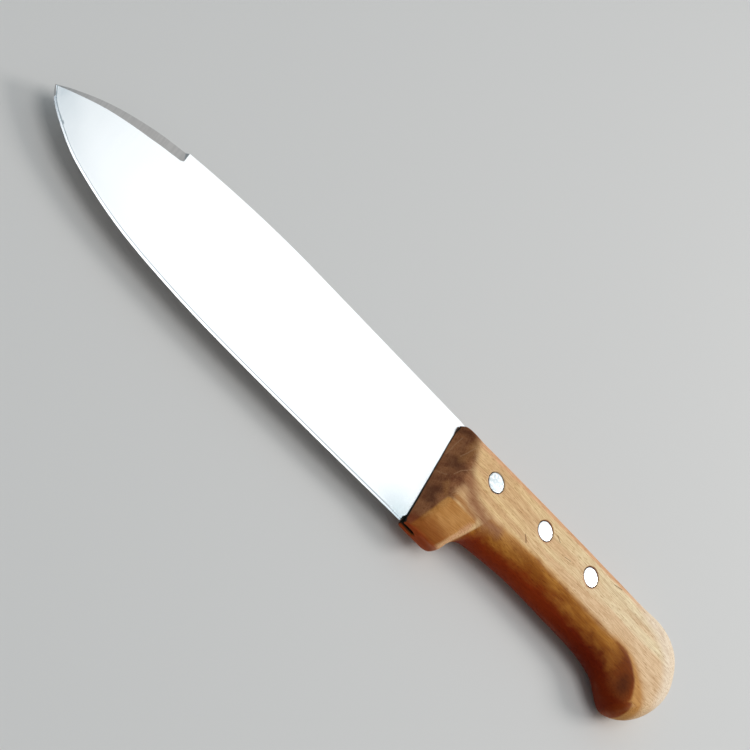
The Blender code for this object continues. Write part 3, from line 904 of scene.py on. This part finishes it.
CRACKS = (
    ((44.5, -20.7), (45.4, -21.6), 0.42),
    ((45.4, -21.6), (46.2, -22.9), 0.46),
    ((58.7, -9.1), (61.2, -10.5), 0.24),
    ((66.1, -13.7), (69.6, -13.1), 0.20),
    ((94.6, -4.7), (99.0, -3.7), 0.34),
)
GUARD_RIM_HIGHLIGHT = (
    ((15.8, -50.0), (17.6, -44.9), 0.9),
    ((17.6, -44.9), (19.5, -40.3), 1.7),
    ((19.5, -40.3), (21.0, -36.4), 2.6),
)
FACET_BORDER = (
    ((8.5, -32.0), (14.0, -32.2), 2.3),
    ((14.0, -32.2), (20.5, -33.0), 2.3),
)
scratch_share = both(upper_side, strokes(SCRATCHES, 0.5))
cloud_share = both(upper_side, strokes(CLOUDS, 2.5, 1.0))
stain_share = both(upper_side, strokes(STAINS, 4.0, 1.0))
bare_share = both(upper_side, strokes(BARE_PATCHES, 4.0, 1.0))
spot_share = both(upper_side, strokes(DARK_SPOTS, 2.0, 1.0))
crack_share = both(upper_side, strokes(CRACKS, 0.6))
# The guard's paler rim is partly rubbed wear and partly a painted highlight along its rear edge.
guard_rim_highlight = strokes(GUARD_RIM_HIGHLIGHT, 1.5, 1.0)
facet_border = strokes(FACET_BORDER, 1.5, 0.9)
all_marks = (SCRATCHES, CLOUDS, STAINS, BARE_PATCHES, DARK_SPOTS, CRACKS, GUARD_RIM_HIGHLIGHT, FACET_BORDER)
print("marks drawn on the wood:", sum(len(marks) for marks in all_marks))

# %% [markdown]
# The belly, the hook, the guard and the ramp each get a wood of their own. A painter would mix a light and
# a dark shade of each first, so each wood here is two shades mixed by blotches, by flames in the grain, or
# by how far the surface has turned under.

# %% Mix the wood of each zone
mottled = soft_range(wood_tree, blotches, 0.30, 0.70)
flamed = soft_range(wood_tree, grain(wood_tree, fibre_space, (65.0, 300.0, 300.0), 2.0), 0.36, 0.64)

# The belly turns from golden to deep red the further it faces down: partly oil stain, partly painted shade.
belly_wood = mixed(flamed, srgb(158, 92, 30), srgb(190, 126, 52))
by_guard = both(border(along, 56, 34), past(downward, 0.60, 0.25), 0.8)
belly_wood = mixed(by_guard, belly_wood, srgb(206, 148, 80))
deep_wood = mixed(border(along, 55, 105), srgb(142, 50, 14), srgb(106, 29, 7))
turned_under = maths(wood_tree, "MULTIPLY_ADD", border(along, 30, 75), 0.17, downward)
turned_under = maths(wood_tree, "MULTIPLY_ADD", border(along, 90, 108), 0.04, turned_under)
belly_wood = mixed(past(turned_under, 0.50, 0.85, 0.3), belly_wood, deep_wood)
# The hook is painted darker as it faces down, a painted shade, and lighter toward its rear end, a painted
# light where it faces the lamp beyond the pommel.
hook_wood = mixed(past(downward, 0.25, 0.60, 0.2), srgb(130, 62, 16), srgb(116, 38, 10))
hook_wood = mixed(border(along, 120, 128, 4), hook_wood, srgb(158, 76, 26))
hook_wood = mixed(both(spot_share, 0.6), hook_wood, srgb(70, 28, 10))
belly_wood = mixed(hook_share, belly_wood, hook_wood)

facet_wood = mixed(mottled, srgb(202, 140, 74), srgb(216, 156, 90))
facet_wood = mixed(border(upward, -41, -49, 4), facet_wood, srgb(164, 96, 42))

ramp_wood = mixed(mottled, srgb(128, 78, 52), srgb(166, 112, 75))
ramp_wood = mixed(both(dark_streaks, 0.40), ramp_wood, srgb(104, 60, 40))
ramp_wood = mixed(both(soft_range(wood_tree, cross_scratches, 0.5, 0.8), 0.4), ramp_wood, srgb(172, 124, 88))
ramp_wood = mixed(both(stain_share, 0.6), ramp_wood, srgb(88, 50, 36))
ramp_wood = mixed(both(bare_share, 0.6), ramp_wood, srgb(172, 120, 74))
ramp_wood = mixed(both(scratch_share, 0.5), ramp_wood, srgb(186, 142, 106))
ramp_wood = mixed(border(upward, -43, -50, 3), ramp_wood, srgb(140, 72, 42))
print("wood nodes so far:", len(wood_tree.nodes))

# %% [markdown]
# Now the zones are painted over each other, the widest first, as a painter would lay glazes. Each layer is
# a share and a colour, so the order of the list is all that there is to change.

# %% Lay the zones over each other
# Paler wood on the spine side, a painted highlight where it faces the light.
spine_lit_wood = mixed(border(along, 95, 125), srgb(238, 182, 138), srgb(255, 228, 196))
LAYERS = (
    (spine_light_share, spine_lit_wood),
    (rim_highlight_share, srgb(255, 233, 206)),
    (both(tanned_share, border(along, 96, 110)), srgb(226, 178, 122)),
    (both(gold_share, border(along, 98, 106)), srgb(208, 150, 84)),
    (both(glazed, 0.6), srgb(222, 168, 96)),
    (belly_share, belly_wood),
    (both(facet_border, 0.9), srgb(190, 132, 78)),
    (both(cloud_share, 0.88), srgb(166, 113, 78)),
    (ramp_share, ramp_wood),
    (facet_share, facet_wood),
    (under_guard, srgb(166, 74, 34)),
    (both(guard_rim_highlight, 0.75), srgb(226, 168, 126)),
)
colour = flat_wood
for share, shade in LAYERS:
    colour = mixed(share, colour, shade)
print("layers of colour:", len(LAYERS))

# %% [markdown]
# Last come the things that lie over every zone: the fibres and pores of the grain, the paler edges, partly
# worn and partly a painted highlight, the dark cracks, a painted shadow on the front face and in the saw
# kerf, and a dark ring around each rivet, partly dirt in the joint and partly painted shade of the gap.

# %% Lay grain, wear, dirt and painted shade and light over the zones
DIRT_AND_SHADE_REACH = 0.55 * MM

fibre_tint = mixed(soft_range(wood_tree, fibres, 0.35, 0.65), srgb(255, 255, 255), srgb(232, 222, 212))
colour = blended(wood_tree, 1.0, colour, fibre_tint, "MULTIPLY")
pore_tint = mixed(pores, srgb(255, 255, 255), srgb(216, 198, 180))
pore_share = maths(wood_tree, "MULTIPLY_ADD", facet_share, -0.7, 1.0)
colour = blended(wood_tree, pore_share, colour, pore_tint, "MULTIPLY")
worn_and_lit = node(wood_tree, "ShaderNodeAttribute", attribute_name="wear_and_edge_light").outputs["Fac"]
off_ramp = maths(wood_tree, "SUBTRACT", 1.0, ramp_share)
# Paler convex edges: partly wear, partly a painted highlight.
colour = mixed(both(soft_range(wood_tree, worn_and_lit, 0.2, 0.8), 0.3, off_ramp), colour, srgb(244, 208, 168))
colour = mixed(both(crack_share, 0.7), colour, srgb(116, 74, 40))
kerf_shadow = both(
    border(maths(wood_tree, "ABSOLUTE", thick), 1.3, 1.1),
    border(along, 7, 6),
    border(upward, -51.9, -51.1),
)
# Painted shadow: the front face and the inside of the saw kerf are painted near black.
colour = mixed(maths(wood_tree, "MAXIMUM", front_shadow_share, kerf_shadow), colour, srgb(40, 40, 34))

rings = []
for name in RIVETS:
    centre = box_middle(name) - datum
    radius = (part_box(name)[1][0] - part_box(name)[0][0]) / 2
    gap = vectors(wood_tree, "DISTANCE", side_place, (centre.x, centre.y, 0.0), output="Value")
    rings.append(past(gap, radius + DIRT_AND_SHADE_REACH, radius, 0.7 * MM))
dirt_and_shade_share = maths(wood_tree, "MAXIMUM", maths(wood_tree, "MAXIMUM", rings[0], rings[1]), rings[2])
# A dark ring around each rivet: partly dirt in the joint, partly painted shade of the gap.
colour = mixed(both(dirt_and_shade_share, 0.8), colour, srgb(84, 70, 56))
wood_tree.links.new(colour, wood_shader.inputs["Base Color"])

# %% [markdown]
# The oil has left the belly a little glossier than the sanded flats, and the ramp duller. The relief is a
# sum: pores and cracks are pits, fibres are fine ridges, and the ramp keeps cross scratches from coarse
# paper. Oil that has soaked in shines far less than varnish, so the shader's specular level is low, which
# keeps the reds deep.

# %% Roughness and relief of the wood
SPECULAR = 0.05

gloss = maths(wood_tree, "MULTIPLY_ADD", ramp_share, 0.12, 0.44)
gloss = maths(wood_tree, "MULTIPLY_ADD", belly_share, -0.10, gloss)
wood_tree.links.new(maths(wood_tree, "MULTIPLY_ADD", streaks, 0.16, gloss), wood_shader.inputs["Roughness"])
wood_shader.inputs["Specular IOR Level"].default_value = SPECULAR
pits = maths(wood_tree, "ADD", pores, crack_share)
relief = maths(wood_tree, "SUBTRACT", maths(wood_tree, "MULTIPLY", fibres, 0.6), pits)
relief = maths(wood_tree, "MULTIPLY_ADD", both(ramp_share, cross_scratches), 2.0, relief)
relief = maths(wood_tree, "SUBTRACT", relief, both(ramp_share, scratch_share))
wood_bump = node(wood_tree, "ShaderNodeBump", {"Height": relief, "Distance": 4e-5, "Strength": 0.7})
wood_tree.links.new(wood_bump.outputs["Normal"], wood_shader.inputs["Normal"])
handle_mesh.materials.clear()
handle_mesh.materials.append(wood)
print("wood nodes:", len(wood_tree.nodes))

# %% [markdown]
# The rivets are aluminium bars, hammered in and sanded flush with the wood. A bare cylinder would show a
# razor edge, so each is turned from a profile: a face that is crowned by six hundredths of a millimetre,
# and a small worn edge. Both ends show, because the knife looks alike from its other side.

# %% Turn the rivets
RIVET_SIDES = 96
CROWN = 0.00006
WORN_EDGE = 0.00022
EDGE_STEPS = 3
FACE_RINGS = 7


def rivet_profile(radius, half):
    """Radius and height of each ring, from the middle of the lower face to the middle of the upper face."""
    face = radius - WORN_EDGE
    upper = [(radius, half - WORN_EDGE - CROWN)]
    for step in range(1, EDGE_STEPS + 1):
        turn = math.radians(90 / EDGE_STEPS * step)
        upper.append((face + WORN_EDGE * math.cos(turn), half - CROWN - WORN_EDGE * (1 - math.sin(turn))))
    for ring in range(FACE_RINGS - 1, 0, -1):
        share = ring / FACE_RINGS
        upper.append((face * share, half - CROWN * share**2))
    return [(r, -z) for r, z in reversed(upper)] + upper


def turned(name, profile, place, top):
    """A closed turned form along Z."""
    form = bmesh.new()
    turns = [2 * math.pi * side / RIVET_SIDES for side in range(RIVET_SIDES)]
    rows = [
        [form.verts.new(place + Vector((r * math.cos(turn), r * math.sin(turn), z))) for turn in turns]
        for r, z in profile
    ]
    for row, following in zip(rows, rows[1:]):
        for i in range(RIVET_SIDES):
            j = (i + 1) % RIVET_SIDES
            form.faces.new((row[i], row[j], following[j], following[i]))
    for row, height in ((rows[0], -top), (rows[-1], top)):
        tip = form.verts.new(place + Vector((0.0, 0.0, height)))
        for i in range(RIVET_SIDES):
            form.faces.new((tip, row[i], row[(i + 1) % RIVET_SIDES]))
    bmesh.ops.recalc_face_normals(form, faces=form.faces)
    mesh = plain_mesh(name, form)
    form.free()
    mesh.shade_smooth()
    return mesh


rivets = {}
for name in RIVETS:
    low, high = (Vector(corner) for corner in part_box(name))
    radius, half = (high.x - low.x) / 2, (high.z - low.z) / 2
    form = turned("sanded_" + name, rivet_profile(radius, half), (low + high) / 2, half)
    rivets[name] = new_object("sanded_" + name, form)
    print(name, "is", round(2000 * radius, 2), "mm across")

# %% [markdown]
# Sanded aluminium is mottled: bright where it is polished and grey where it is not. One noise drives both
# its colour and its roughness. A second one, squeezed across the handle, leaves fine sanding lines that run
# along it. The front rivet is duller than the other two.

# %% Finish the rivets in mottled aluminium
rivet_metal, rivet_tree, rivet_shader = new_material("sanded_aluminium")
rivet_space = knife_space(rivet_tree)
mottle = grain(rivet_tree, rivet_space, (700.0, 700.0, 700.0), 4.0)
sanding = grain(rivet_tree, rivet_space, (300.0, 3000.0, 300.0), 2.0)
from_front = node(rivet_tree, "ShaderNodeSeparateXYZ", {0: rivet_space}).outputs["X"]
brightness = soft_range(rivet_tree, from_front, 30 * MM, 45 * MM, 0.10, 0.34)  # the front rivet is duller
polished = soft_range(rivet_tree, maths(rivet_tree, "ADD", mottle, brightness), 0.55, 0.80)
rivet_colour = blended(rivet_tree, polished, (0.52, 0.56, 0.57, 1.0), (0.96, 0.96, 0.96, 1.0))
rivet_tree.links.new(rivet_colour, rivet_shader.inputs["Base Color"])
rivet_tree.links.new(soft_range(rivet_tree, mottle, 0.3, 0.7, 0.45, 0.28), rivet_shader.inputs["Roughness"])
rivet_bump = node(rivet_tree, "ShaderNodeBump", {"Height": sanding, "Distance": 4e-6, "Strength": 1.0})
rivet_tree.links.new(rivet_bump.outputs["Normal"], rivet_shader.inputs["Normal"])
rivet_shader.inputs["Metallic"].default_value = 1.0

for name, rivet in rivets.items():
    rivet.data.materials.append(rivet_metal)
    finish_piece(rivet, name)
